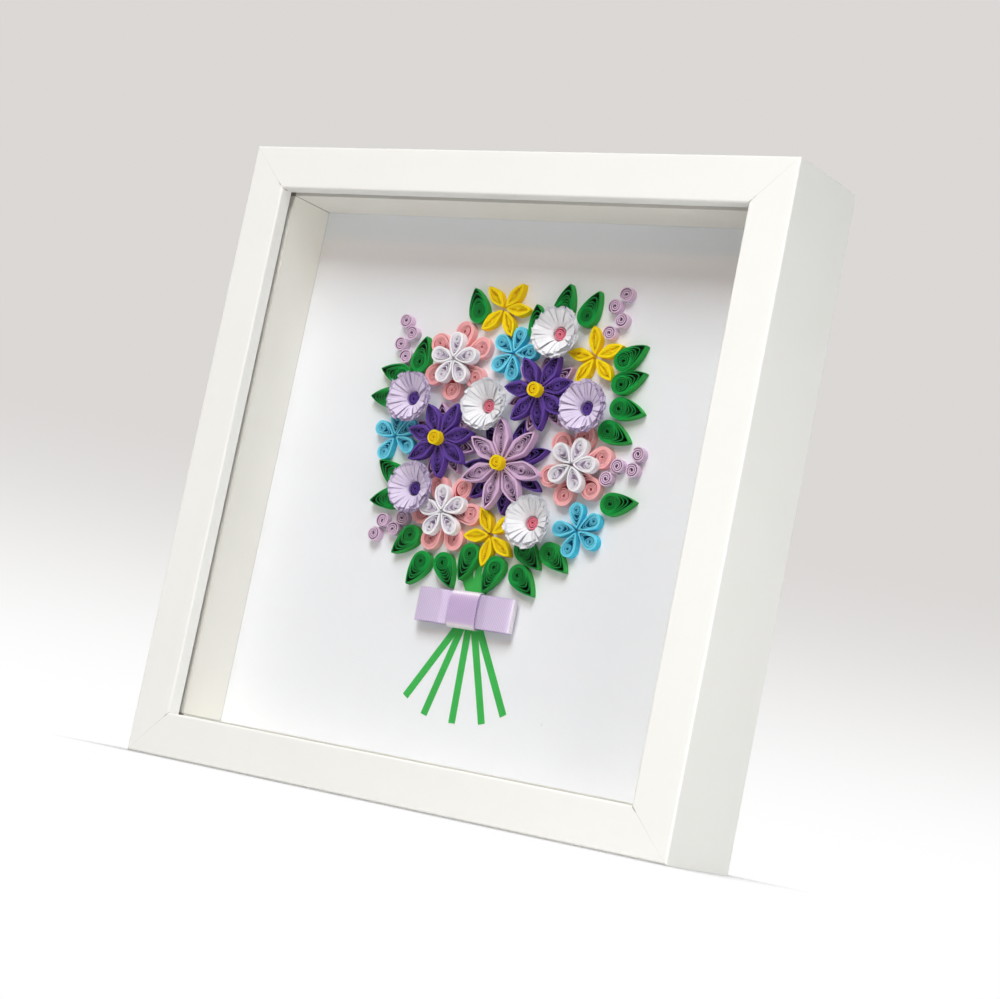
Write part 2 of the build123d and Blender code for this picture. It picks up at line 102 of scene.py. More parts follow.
# %% Wires and finishes
class Wire:
    """A value on its way through a finish; arithmetic on it adds Math nodes."""

    def __init__(self, finish, socket):
        self.finish = finish
        self.socket = socket

    def math(self, operation, first, second):
        return self.finish.node("ShaderNodeMath", {"operation": operation}, {0: first, 1: second})

    def __add__(self, other):
        return self.math("ADD", self, other)

    def __sub__(self, other):
        return self.math("SUBTRACT", self, other)

    def __rsub__(self, other):
        return self.math("SUBTRACT", other, self)

    def __mul__(self, other):
        return self.math("MULTIPLY", self, other)

    def __abs__(self):
        return self.math("ABSOLUTE", self, 0)

    __radd__ = __add__
    __rmul__ = __mul__


class Finish:
    """A procedural material with one Principled shader."""

    def __init__(self, name, **constants):
        self.material = bpy.data.materials.new(name)
        self.material.use_nodes = True
        self.tree = self.material.node_tree
        self.shader = self.tree.nodes["Principled BSDF"]
        self.set(**constants)

    def set(self, **inputs):
        """Feed the shader's sockets, named with underscores, with numbers, colours or wires."""
        for name, value in inputs.items():
            self.feed(self.shader.inputs[name.replace("_", " ")], value)

    def feed(self, socket, value):
        if isinstance(value, Wire):
            self.tree.links.new(value.socket, socket)
        else:
            socket.default_value = value

    def node(self, kind, settings=None, inputs=None, output=0):
        """Add a node: first its settings, then its sockets' values or wires."""
        made = self.tree.nodes.new(kind)
        for name, value in (settings or {}).items():
            setattr(made, name, value)
        for name, value in (inputs or {}).items():
            self.feed(made.inputs[name], value)
        return Wire(self, made.outputs[output])

    def place(self):
        """The point on the surface, in metres, as a vector and as its three numbers."""
        point = self.node("ShaderNodeTexCoord", output="Object")
        split = self.node("ShaderNodeSeparateXYZ", inputs={0: point}).socket.node
        return point, *[Wire(self, split.outputs[axis]) for axis in range(3)]

    def noise(self, point, size, detail=2.0, stretch=(1, 1, 1)):
        """Noise with spots of about that size in metres, stretched along the axes."""
        scaled = self.node(
            "ShaderNodeVectorMath",
            {"operation": "MULTIPLY"},
            {0: point, 1: [1 / (size * share) for share in stretch]},
        )
        return self.node("ShaderNodeTexNoise", inputs={"Vector": scaled, "Scale": 1.0, "Detail": detail})

    def ease(self, value, start, end):
        """0 before start, 1 after end, smooth between them."""
        return self.node(
            "ShaderNodeMapRange",
            {"interpolation_type": "SMOOTHSTEP"},
            {"Value": value, "From Min": start, "From Max": end},
        )

    def mix(self, factor, first, second):
        """Blend two colours."""
        return self.node("ShaderNodeMix", {"data_type": "RGBA"}, {0: factor, 6: first, 7: second}, output=2)

    def bump(self, height, depth):
        """A surface normal from a height between 0 and 1 that stands for that depth in metres."""
        return self.node("ShaderNodeBump", inputs={"Height": height, "Distance": depth, "Strength": 1.0})

    def surface(self):
        """What the Principled shader gives."""
        return Wire(self, self.shader.outputs[0])

    def show(self, shader):
        """Put another shader in the place of the Principled one."""
        self.feed(self.tree.nodes["Material Output"].inputs["Surface"], shader)


def paint(red, green, blue):
    """A colour as written on screen, from 0 to 255, as the linear colour that a shader takes."""
    shares = [level / 255 for level in (red, green, blue)]
    linear = [s / 12.92 if s <= 0.04045 else ((s + 0.055) / 1.055) ** 2.4 for s in shares]
    return (*linear, 1.0)


def coat(finish, *names):
    """Give CAD nodes a finish in place of their plain one."""
    for name in names:
        nodes[name].data.materials.clear()
        nodes[name].data.materials.append(finish.material)
    print(f"{finish.material.name}: {', '.join(names)}")


# %% [markdown]
# ## Frame finishes
#
# The rails are fibreboard wrapped in a printed foil: a warm white, satin, with a faint pressed grain.
# The mitres show as hairlines that open towards the inner corners, where a little of the core shows.
# A hairline could be a gap in the mesh, but a mask on the distance from the diagonal is finer and keeps
# the solids as they are.

# %% Rails
SIDES = ("top", "bottom", "left", "right")
middle = (cad_box[0] + cad_box[1]) / 2
half_width = (cad_box[1].x - cad_box[0].x) / 2
lip_edge = half_width - 17.5 * MM


def from_middle(finish):
    """The surface point, its distances from the frame's middle across and up, and its depth."""
    point, across, depth, up = finish.place()
    return point, abs(across), abs(up - middle.z), depth


def foil_white():
    finish = Finish("foil_white", Roughness=0.42, IOR=1.45, Specular_IOR_Level=0.4)
    point, across, up, _ = from_middle(finish)
    diagonal = abs(across - up)
    inner = 1 - finish.ease(across, lip_edge, half_width)
    wander = finish.noise(point, 0.004)
    hairline = (1 - finish.ease(diagonal, 0.02 * MM, 0.16 * MM)) * (0.12 + 0.5 * inner * wander)
    chip = (1 - finish.ease(diagonal, 0.05 * MM, 0.5 * MM)) * finish.ease(inner, 0.93, 1.0)
    mottle = finish.noise(point, 0.03, 3.0)
    tone = finish.mix(mottle, paint(246, 246, 242), paint(249, 249, 246))
    tone = finish.mix(hairline, tone, paint(120, 112, 96))
    tone = finish.mix(chip * finish.ease(wander, 0.45, 0.6) * 0.7, tone, paint(126, 104, 72))
    grain = finish.noise(point, 0.0006, 3.0)
    finish.set(Base_Color=tone, Roughness=0.36 + 0.1 * mottle)
    finish.set(Normal=finish.bump(grain - 0.6 * hairline, 0.03 * MM))
    return finish


coat(foil_white(), *[f"{side}_rail" for side in SIDES])

# %% [markdown]
# The spacers are strips of the same board, wrapped in white paper. They hold the card away from the
# glazing. Dust and shadow gather in the joints, so the finish darkens in hairlines where the spacer
# meets the card, the glazing and the next spacer. The card is plain drawing card with a fine tooth.

# %% Spacers and card
spacer_low, spacer_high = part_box("left_spacer")
window_edge = abs(spacer_high.x)
card_low, card_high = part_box("background_card")


def spacer_paper():
    finish = Finish("spacer_paper", Roughness=0.7, Specular_IOR_Level=0.25)
    point, across, up, depth = from_middle(finish)
    back_joint = finish.ease(depth, spacer_high.y - 0.35 * MM, spacer_high.y - 0.1 * MM)
    front_joint = 1 - finish.ease(depth, spacer_low.y + 0.15 * MM, spacer_low.y + 0.5 * MM)
    corner = finish.ease(across, window_edge - 0.3 * MM, window_edge - 0.1 * MM)
    corner = corner * finish.ease(up, window_edge - 0.3 * MM, window_edge - 0.1 * MM)
    mottle = finish.noise(point, 0.02, 3.0)
    tone = finish.mix(mottle, paint(240, 238, 230), paint(244, 242, 236))
    tone = finish.mix(0.12 * front_joint + 0.35 * back_joint, tone, paint(92, 88, 70))
    tone = finish.mix(0.7 * corner, tone, paint(92, 88, 70))
    fibres = finish.noise(point, 0.0004, 4.0)
    finish.set(Base_Color=tone, Normal=finish.bump(fibres, 0.02 * MM))
    return finish


def drawing_card():
    finish = Finish("drawing_card", Roughness=0.85, Specular_IOR_Level=0.2)
    point, *_ = finish.place()
    clouds = finish.noise(point, 0.05, 2.0)
    tooth = finish.noise(point, 0.0005, 3.0)
    tone = finish.mix(clouds, paint(241, 243, 247), paint(244, 246, 250))
    tone = finish.mix(0.12 * tooth, tone, paint(206, 206, 210))
    finish.set(Base_Color=tone, Normal=finish.bump(tooth, 0.025 * MM))
    return finish


coat(spacer_paper(), *[f"{side}_spacer" for side in SIDES])
coat(drawing_card(), "background_card")

# %% [markdown]
# ## Back and steel
#
# Behind the card lies a hardboard panel: brown pressed fibres with darker flecks, smooth on its face.
# The tabs, nails, hanger and rivets are bright zinc-plated steel with fine brush lines.


# %% Hardboard and steel
def hardboard():
    finish = Finish("hardboard", Roughness=0.6, Specular_IOR_Level=0.3)
    point, *_ = finish.place()
    fibres = finish.noise(point, 0.0012, 5.0, (3, 1, 1))
    clouds = finish.noise(point, 0.02, 3.0)
    tone = finish.mix(clouds, paint(134, 93, 58), paint(158, 115, 76))
    tone = finish.mix(finish.ease(fibres, 0.52, 0.72), tone, paint(92, 60, 36))
    finish.set(Base_Color=tone, Roughness=0.5 + 0.2 * clouds, Normal=finish.bump(fibres, 0.06 * MM))
    return finish


def zinc_steel():
    finish = Finish("zinc_steel", Metallic=1.0)
    point, *_ = finish.place()
    brushed = finish.noise(point, 0.0003, 3.0, (14, 1, 1))
    clouds = finish.noise(point, 0.004, 2.0)
    tone = finish.mix(clouds, paint(178, 180, 184), paint(205, 206, 208))
    finish.set(Base_Color=tone, Roughness=0.24 + 0.18 * brushed, Normal=finish.bump(brushed, 0.01 * MM))
    return finish


coat(hardboard(), "back_panel")
coat(zinc_steel(), "corner_nails", "retaining_tabs", "sawtooth_hanger", "hanger_rivets")

# %% [markdown]
# ## Glazing
#
# A clear flat sheet hardly bends what is seen through it, so real refraction would only cost noise and
# keep lamp light off the paper. Here the sheet is see-through, mirrors a little more where it is seen at
# a slant, and carries a few specks of dust.


# %% Glazing
def clear_sheet():
    finish = Finish("clear_sheet")
    point, *_ = finish.place()
    facing = finish.node("ShaderNodeFresnel", inputs={"IOR": 1.45})
    clear = finish.node("ShaderNodeBsdfTransparent", inputs={"Color": (0.995, 0.996, 0.995, 1)})
    mirror = finish.node("ShaderNodeBsdfGlossy", inputs={"Color": (1, 1, 1, 1), "Roughness": 0.02})
    sheen = finish.node("ShaderNodeMixShader", inputs={0: 0.06 * facing, 1: clear, 2: mirror})
    cells = finish.node(
        "ShaderNodeTexVoronoi", inputs={"Vector": point, "Scale": 1 / 0.011, "Randomness": 1.0}
    )
    chosen = finish.ease(finish.noise(point, 0.012, 1.0), 0.62, 0.64)
    speck = (1 - finish.ease(cells, 0.008, 0.03)) * chosen
    finish.set(Base_Color=paint(250, 250, 250), Roughness=0.9)
    finish.show(finish.node("ShaderNodeMixShader", inputs={0: 0.8 * speck, 1: sheen, 2: finish.surface()}))
    return finish


coat(clear_sheet(), "glazing")

# %% [markdown]
# ## Places on the card
#
# Everything in the bouquet is laid out on the card, so it is easiest to think in the card's own
# millimetres: across and up from its middle, and out from its face. One function turns such points into
# the frame's metres. The lists follow the layout of the model.

# %% The card's own measure
card_middle = (card_low + card_high) / 2
rng = np.random.default_rng(7)


def on_card(points):
    """Points (across, up, out) in the card's millimetres as points in the frame's metres."""
    points = np.asarray(points, float)
    return np.stack(
        [
            card_middle.x + points[:, 0] * MM,
            card_low.y - points[:, 2] * MM,
            card_middle.z + points[:, 1] * MM,
        ],
        axis=1,
    )


def piece(name, shells, finish, slot, *stands_for):
    """One object from closed shells: corners in the card's measure, faces, and a number per corner for
    painted shade and picots.
    """
    corners = []
    faces = []
    painted_shade_and_picots = []
    for points, sides, *shade_and_picot_values in shells:
        faces += [[corner + len(corners) for corner in side] for side in sides]
        corners += on_card(points).tolist()
        painted_shade_and_picots += list(shade_and_picot_values[0]) if shade_and_picot_values else [0.0] * len(points)
    mesh = bpy.data.meshes.new(name)
    mesh.from_pydata(corners, [], faces)
    mesh.shade_smooth()
    mesh.set_sharp_from_angle(angle=radians(38))
    mesh.materials.append(finish.material)
    mesh.attributes.new("painted_shade_and_picots", "FLOAT", "POINT").data.foreach_set("value", painted_shade_and_picots)
    made = bpy.data.objects.new(name, mesh)
    bpy.context.scene.collection.objects.link(made)
    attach(made, "root")
    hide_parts(*stands_for)
    return made


# %% [markdown]
# ## Paper finishes
#
# Quilling paper is dyed through and matt, with soft fibres that show as a faint mottle. The cut edge of
# a strip faces the viewer, and its smooth side stands upright on the card. The surface normal tells the
# two apart, so one finish serves both. Between the turns, where little light reaches, the walls get painted
# shade. Each corner carries a number for how much, and the finish blends towards a dark shade tone by it.


# %% Paper
FILM_SHADE = 1.5


def facing_out(finish):
    """1 where a surface faces straight out of the frame, 0 where it stands upright on the card."""
    normal = finish.node("ShaderNodeNewGeometry", output="Normal")
    straight_out = {0: normal, 1: (0, -1, 0)}
    return finish.node("ShaderNodeVectorMath", {"operation": "DOT_PRODUCT"}, straight_out, "Value")


def paper(name, side, edge, painted_shade_tone):
    finish = Finish(name, Roughness=0.8, Specular_IOR_Level=0.2)
    point, *_ = finish.place()
    outwards = facing_out(finish)
    fibres = finish.noise(point, 0.0004, 2.0)
    batches = finish.noise(point, 0.012, 0.0)
    painted_shade_and_picots = finish.node("ShaderNodeAttribute", {"attribute_name": "painted_shade_and_picots"}, output="Fac")
    tone = finish.mix(finish.ease(outwards, 0.5, 0.95), paint(*side), paint(*edge))
    darker = paint(*[0.86 * level for level in side])
    lighter = paint(*[min(1.12 * level, 255) for level in edge])
    tone = finish.mix(0.3 * finish.ease(batches, 0.35, 0.75), tone, darker)
    tone = finish.mix(0.3 * finish.ease(fibres, 0.45, 0.75), tone, lighter)
    # Painted shade: walls blend to the shade tone by their number, and a film under a coil is shade tone all
    # over.
    top = finish.ease(outwards, 0.85, 0.98)
    shaded = painted_shade_and_picots * (1 - top) + finish.ease(painted_shade_and_picots, 1.0, FILM_SHADE)
    tone = finish.mix(shaded, tone, paint(*painted_shade_tone))
    finish.set(Base_Color=tone, Normal=finish.bump(fibres, 0.015 * MM))
    return finish


# Each paper: its side colour, its cut edge colour, and the tone of the painted shade between turns.
PAPERS = {
    "green_paper": paper("green_paper", (52, 164, 72), (6, 150, 60), (0, 28, 12)),
    "stem_paper": paper("stem_paper", (66, 182, 86), (62, 180, 82), (30, 120, 50)),
    "yellow_paper": paper("yellow_paper", (255, 210, 0), (255, 224, 0), (244, 174, 0)),
    "blue_paper": paper("blue_paper", (70, 204, 238), (116, 222, 248), (6, 150, 194)),
    "salmon_paper": paper("salmon_paper", (255, 188, 188), (255, 182, 184), (220, 94, 102)),
    "pink_paper": paper("pink_paper", (248, 122, 146), (255, 138, 160), (216, 84, 106)),
    "white_paper": paper("white_paper", (250, 248, 254), (252, 250, 254), (232, 220, 238)),
    "white_fringe_paper": paper("white_fringe_paper", (245, 245, 248), (245, 245, 248), (194, 198, 218)),
    "lilac_fringe_paper": paper("lilac_fringe_paper", (226, 212, 238), (230, 218, 242), (136, 100, 174)),
    "lilac_paper": paper("lilac_paper", (222, 186, 220), (220, 184, 220), (132, 86, 132)),
    "purple_paper": paper("purple_paper", (100, 64, 160), (98, 66, 160), (26, 10, 56)),
    "berry_paper": paper("berry_paper", (226, 198, 224), (226, 194, 222), (158, 120, 156)),
}
print(f"{len(PAPERS)} papers")

# %% [markdown]
# ## Coils
#
# A coil is one strip wound from its heart outwards. Modelling rings would be simpler, but a real strip is
# one spiral, and the eye finds its start and its glued end. The first turns make a round heart. Then the
# strip springs open: each turn lies close at the round end and reaches further towards the pinched point,
# always more on one side, so the turns fan out like crescents. The last turns are glued into a firm rim.
# Every turn grows from the heart to the outline, so the line of one turn does not cross the next. Where
# turns lie tight, their thickness may overlap.
#
# Turns that lie tight against each other look like one, so they are drawn as one thicker strip. The glued
# end is rubbed thin, so that it hardly leaves a step. A film under the coil, where the glue lies, hides the
# card with painted shade.

# %% One coil
STRIP = 3.2
SAMPLES = 36
POINT_EASE = 0.8
SHARP = 0.02
FILM = 0.08
END = 0.3
LAYER_GAP = 0.04


class Form:
    """A kind of coil: its outline in millimetres and the way its strip is wound.

    taper says how fast the outline narrows to its outer and inner point. turns counts the turns of the
    heart, the fan and the rim; disc is the heart's inner and outer radius. gather below 1 sends the fan's
    turns to the point, and soft rounds their noses. strip is the strip's width, paper its thickness, and
    sink how far the inner turns may sink.
    """

    def __init__(
        self, length, width, points, taper, turns, disc, *,
        paper, gather=1.0, soft=0.5, strip=STRIP, sink=0.3,
    ):
        self.bulb = width / 2
        self.reach = length - self.bulb if points == 1 else length / 2
        self.points = points
        self.taper = taper
        self.turns = turns
        self.disc = disc
        self.gather = gather
        self.soft = soft
        self.strip = strip
        self.paper = paper
        self.tight = 1.1 * paper
        self.sink = sink


def wander(turn, size):
    """A smooth random course with a new value at each turn."""
    knots = rng.uniform(-size, size, int(turn[-1]) + 3)
    whole = np.floor(turn).astype(int)
    share = turn - whole
    share = share * share * (3 - 2 * share)
    return knots[whole] * (1 - share) + knots[whole + 1] * share


def course(form):
    """The turns at which a strip is sampled, closest together near the points."""
    parts = max(form.points, 1)
    steps = SAMPLES // parts
    share = np.arange(steps) / steps
    if form.points:
        share = share - POINT_EASE * np.sin(tau * share) / tau
    total = sum(form.turns)
    return np.concatenate([(whole + share) / parts for whole in range(total * parts)] + [[total]])


def radius_of_turns(form, turn):
    """How far the strip is from the heart, and how far it has come in the heart, the fan and the rim."""
    core, fan, rim = form.turns
    hole, disc = form.disc
    in_core = np.clip(turn / core, 0, 1)
    in_fan = np.clip((turn - core) / max(fan, 0.01), 0, 1)
    in_rim = np.clip((turn - core - fan) / rim, 0, 1)
    loose = in_fan * (1 - in_fan)
    in_fan = np.clip(in_fan + wander(turn, 0.9) * loose / max(fan, 1), 0, 1)
    angle = turn * tau
    part = tau / max(form.points, 1)
    off = np.abs((angle + part / 2) % part - part / 2)
    soft = form.soft * (1 - in_fan) + SHARP
    taper = np.where(np.cos(angle) > 0, *form.taper)
    drawn = np.clip(1 - np.sqrt(off**2 + soft**2) / (part / 2), 0, 1) ** taper
    bulb = form.bulb - form.tight * rim * (1 - in_rim)
    reach = form.reach - 1.4 * form.tight * rim * (1 - in_rim)
    outline = bulb + (reach - bulb) * drawn
    side = rng.choice((-1, 1)) * rng.uniform(0.45, 1.0)
    nose = np.clip(np.cos(off * (2 if form.points == 2 else 1)), 0, 1) ** 2
    bias = np.exp(side * np.sin(angle + rng.uniform(-0.3, 0.3))) * form.gather**nose
    return hole + (disc - hole) * in_core + (outline - disc) * in_fan**bias, in_core, in_fan


def coil(form, place, level=0.0):
    """A coil as a closed shell, with its heart at a place (across, up, direction) on the card."""
    turn = course(form)
    radius, in_core, in_fan = radius_of_turns(form, turn)
    way = turn * tau + radians(place[2])
    heart = (1 - in_fan)[:, None] * rng.uniform(-0.06, 0.06, 2) * form.bulb
    rubbed = 0.75 * form.paper * np.clip(1 + (turn - turn[-1]) / END, 0, 1) ** 2
    ray = np.column_stack([np.cos(way), np.sin(way)])
    outer = np.array(place[:2]) + heart + (radius - rubbed)[:, None] * ray
    along = np.gradient(outer, axis=0)
    normal = np.column_stack([along[:, 1], -along[:, 0]]) / np.linalg.norm(along, axis=1, keepdims=True)
    sunk = np.abs(wander(turn, form.sink)) * (1 - in_fan**3)
    low = np.full(len(turn), level)
    # Painted shade on the walls of the heart and the fan, a little less at their top edge; the rim's outer
    # wall has none.
    rim_start = sum(form.turns[:2])
    outside = (turn < rim_start).astype(float)
    inside = (turn < rim_start + 1).astype(float)
    inner = outer - (form.paper - rubbed)[:, None] * normal
    points, faces = strip_shell(outer, inner, low, level + form.strip - LAYER_GAP - sunk)
    painted_shade_and_picots = np.concatenate([outside, 0.9 * outside, 0.9 * inside, inside])
    return points, faces, painted_shade_and_picots


def shade_film(form, place, level=0.0):
    """A film under a coil where the glue lies, a little smaller than its outline, in painted shade all over.
    """
    angle = np.linspace(0, tau, SAMPLES, endpoint=False)
    part = tau / max(form.points, 1)
    off = np.abs((angle + part / 2) % part - part / 2)
    drawn = (1 - off / (part / 2)) ** np.where(np.cos(angle) > 0, *form.taper)
    radius = 0.94 * (form.bulb + (form.reach - form.bulb) * drawn) - form.paper
    way = angle + radians(place[2])
    ring = np.array(place[:2]) + radius[:, None] * np.column_stack([np.cos(way), np.sin(way)])
    low = np.column_stack([ring, np.full(SAMPLES, level)])
    high = low + np.array([0, 0, FILM])
    middle = np.array([[*place[:2], level], [*place[:2], level + FILM]])
    faces = []
    for i in range(SAMPLES):
        j = (i + 1) % SAMPLES
        faces += [[i, j, SAMPLES + j, SAMPLES + i]]
        faces += [[j, i, 2 * SAMPLES], [SAMPLES + i, SAMPLES + j, 2 * SAMPLES + 1]]
    # Painted shade all over the film.
    return np.concatenate([low, high, middle]), faces, np.full(2 * SAMPLES + 2, FILM_SHADE)


def strip_shell(outer, inner, low, high):
    """A standing strip of paper between two lines on the card."""
    count = len(outer)
    points = np.concatenate(
        [
            np.column_stack([outer, low]),
            np.column_stack([outer, high]),
            np.column_stack([inner, high]),
            np.column_stack([inner, low]),
        ]
    )
    faces = [[0, count, 2 * count, 3 * count], [4 * count - 1, 3 * count - 1, 2 * count - 1, count - 1]]
    for line in range(4):
        this = line * count
        following = ((line + 1) % 4) * count
        faces += [[this + i, this + i + 1, following + i + 1, following + i] for i in range(count - 1)]
    return points, faces


# %% [markdown]
# ## Leaves and berries
#
# A leaf is a loose coil pinched at one end. A berry is a tight coil that was glued before it could
# spring open, so its turns almost touch round a small dark hole.

# %% Leaves and berries
LEAF = Form(15.6, 8.8, 1, (6.3, 6.3), (3, 5, 1), (0.8, 2.9), soft=0.5, paper=0.33, sink=0.15)
BERRY = Form(6.2, 6.2, 0, (1, 1), (2, 0, 1), (0.75, 2.3), paper=0.5, sink=0.1)
ON_STEMS = 0.3
LEAVES = {
    "top_leaves": [(-19.3, 68.1, 111), (10.0, 62.8, 105), (19.3, 71.2, 82), (30.7, 69.6, 69)],
    "left_leaves": [
        (-42.8, 46.6, 84),
        (-50.2, 40.8, 170),
        (-52.4, 31.4, 181),
        (-43.1, 0.5, 149.5),
        (-42.5, -8.3, 192),
    ],
    "right_leaves": [
        (51.0, 53.5, 37),
        (51.8, 44.7, 27),
        (53.2, 35.5, -7),
        (50.1, 26.5, -19),
        (57.3, -0.8, 11),
    ],
    "lower_leaves": [
        (-29.8, -22.1, 226),
        (-22.1, -31.6, 241),
        (-12.0, -30.9, 302),
        (23.3, -31.6, 318),
        (23.5, -21.6, 320),
        (35.05, -21.7, 323),
    ],
    "stem_leaves": [(-0.2, -26.2, 255), (12.4, -29.8, 251)],
}
BERRIES = {
    "upper_left_berries": [(-53.5, 63.0), (-49.4, 58.0), (-53.9, 53.6), (-50.2, 48.4)],
    "upper_right_berries": [(46.6, 78.8), (42.5, 73.9), (46.5, 68.8), (42.4, 63.6)],
    "right_berries": [(65.0, 18.7), (57.3, 13.6), (63.8, 12.6), (53.5, 8.5)],
    "lower_left_berries": [(-44.8, -17.5), (-47.8, -23.2), (-38.9, -20.4), (-35.6, -15.4)],
}


def coils(node, form, places, level, paper_name):
    """A group of like coils that stands for one CAD node."""
    shells = [make(form, place, level) for place in places for make in (coil, shade_film)]
    return piece(f"quilled_{node}", shells, PAPERS[paper_name], paper_name, node)


for node, places in LEAVES.items():
    coils(node, LEAF, places, ON_STEMS if node == "stem_leaves" else 0, "green_paper")
for node, places in BERRIES.items():
    turned = [(*place, rng.uniform(0, 360)) for place in places]
    coils(node, BERRY, turned, 0, "berry_paper")
print(f"{sum(map(len, LEAVES.values()))} leaves, {sum(map(len, BERRIES.values()))} berries")

# %% [markdown]
# ## Flowers of pinched petals
#
# A petal is a coil too. Round flowers turn the point inwards; stars are pinched at both ends. The double
# flowers have a second flower glued on the first one, one strip higher, and the stars carry a tight coil
# as their centre. So each flower needs only a centre and the directions of its petals.

# %% Flowers
YELLOW_PETAL = Form(12.0, 5.5, 2, (2.8, 3.4), (1, 5, 4), (0.25, 0.5), gather=0.8, soft=0.2, paper=0.22)
BLUE_PETAL = Form(10.5, 6.3, 1, (7.0, 7.0), (3, 3, 3), (0.55, 1.75), gather=0.5, soft=0.15, paper=0.2)
PINK_PETAL = Form(15.7, 8.7, 1, (8.2, 8.2), (4, 4, 2), (0.6, 2.7), gather=0.7, soft=0.3, paper=0.28)
WHITE_PETAL = Form(10.5, 6.3, 1, (5.4, 5.4), (3, 3, 3), (0.55, 1.7), gather=0.5, soft=0.15, paper=0.2)
STAR_PETAL = Form(14.7, 6.7, 2, (3.0, 4.2), (2, 4, 3), (0.5, 1.35), soft=0.3, paper=0.22)
UNDERSTAR_PETAL = Form(14.7, 5.9, 2, (3.0, 4.2), (2, 3, 2), (0.5, 1.35), soft=0.3, paper=0.22)
BIG_STAR_PETAL = Form(17.6, 7.4, 2, (3.0, 4.2), (2, 5, 3), (0.65, 1.6), soft=0.3, paper=0.22)
BIG_UNDERSTAR_PETAL = Form(18.4, 5.6, 2, (3.2, 4.2), (2, 3, 2), (0.5, 1.35), soft=0.3, paper=0.22)
STAR_CENTRE = Form(6.2, 6.2, 0, (1, 1), (2, 0, 2), (0.6, 1.85), paper=0.4, sink=0.05)
ROUND_GAP = 0.4
YELLOW_GAP = 0.7
STAR_GAP = 1.2
YELLOW_FLOWERS = [
    ((-7.5, 70.4), (0, 56, 138, 226, 299)),
    ((38.2, 54.0), (25, 104, 175.5, 238, 317)),
    ((7.6, -18.0), (45, 124, 187, 264, 325)),
]
BLUE_FLOWERS = [
    ((1.0, 53.0), (8, 79, 147, 216.5, 277)),
    ((-47.2, 16.1), (-25, 35.5, 95, 158, 239)),
    ((45.2, -12.1), (-28, 33, 103, 180, 253)),
]
PINK_FLOWERS = [
    ((-24.5, 48.4), (30, 86, 147, 212, 269.5, 328), (15, 90, 169, 238.6, 307)),
    ((39.1, 11.9), (21.5, 82.5, 134.5, 203.5, 256, 317), (5, 71.6, 141, 215.5, 294)),
    ((-15.3, -11.7), (3, 61.5, 120, 185, 245, 302), (27, 101, 170.5, 236, 315)),
]
PURPLE_STARS = [
    ((17.8, 38.7), (17, 66, 127, 179, 231, 283, 328), (43, 92, 142, 202, 258, 310, 355)),
    ((-23.6, 16.5), (14, 68, 122, 170, 216.5, 281.5, 327), (45, 106, 155, 205, 256, 309, 350)),
]
LILAC_STAR = ((7.6, 9.3), (47, 103, 150, 204, 259.5, 307, 350.5), (24, 74, 130, 185, 226, 278, 335))


def flower(node, centre, directions, form, gap, layer, paper_name, lift=0.0):
    """Petals round a centre; a form with one point turns it inwards."""
    turned = 180 if form.points == 1 else 0
    away = gap + form.reach
    places = []
    for direction in directions:
        across = centre[0] + away * cos(radians(direction))
        up = centre[1] + away * sin(radians(direction))
        places.append((across, up, direction + turned))
    return coils(node, form, places, layer * STRIP + lift, paper_name)


for number, (centre, directions) in enumerate(YELLOW_FLOWERS, 1):
    lift = ON_STEMS if number == len(YELLOW_FLOWERS) else 0
    flower(f"yellow_flower_{number}", centre, directions, YELLOW_PETAL, YELLOW_GAP, 0, "yellow_paper", lift)
for number, (centre, directions) in enumerate(BLUE_FLOWERS, 1):
    flower(f"blue_flower_{number}", centre, directions, BLUE_PETAL, ROUND_GAP, 0, "blue_paper")
for number, (centre, lower, upper) in enumerate(PINK_FLOWERS, 1):
    flower(f"pink_flower_{number}", centre, lower, PINK_PETAL, ROUND_GAP, 0, "salmon_paper")
    flower(f"white_flower_{number}", centre, upper, WHITE_PETAL, ROUND_GAP, 1, "white_paper")
for number, (centre, upper, lower) in enumerate(PURPLE_STARS, 1):
    flower(f"lilac_underflower_{number}", centre, lower, UNDERSTAR_PETAL, STAR_GAP, 0, "lilac_paper")
    flower(f"purple_flower_{number}", centre, upper, STAR_PETAL, STAR_GAP, 1, "purple_paper")
centre, upper, lower = LILAC_STAR
flower("purple_underflower", centre, lower, BIG_UNDERSTAR_PETAL, STAR_GAP, 0, "purple_paper")
flower("lilac_flower", centre, upper, BIG_STAR_PETAL, STAR_GAP, 1, "lilac_paper")
star_middles = [star[0] for star in PURPLE_STARS] + [LILAC_STAR[0]]
for number, centre in enumerate(star_middles, 1):
    turned = (*centre, rng.uniform(0, 360))
    coils(f"yellow_centre_{number}", STAR_CENTRE, [turned], 2 * STRIP, "yellow_paper")
print(f"{len(star_middles)} stars with coiled centres")

# %% [markdown]
# ## Fringed flowers
#
# A wide strip is slit along one edge, rolled round a small coil, and its fringe is spread out by hand.
# The roll goes round several times, so there are several crowns of narrow petals: the inner one is the
# face of the flower, the others show as frayed tips behind its rim. Each petal is a thin sheet that
# follows the curve of the trumpet, with its own length, lean and width. Its sides and tip get painted
# shade, for the dark slits between petals.

# %% Thin sheets
SHEET = 0.14


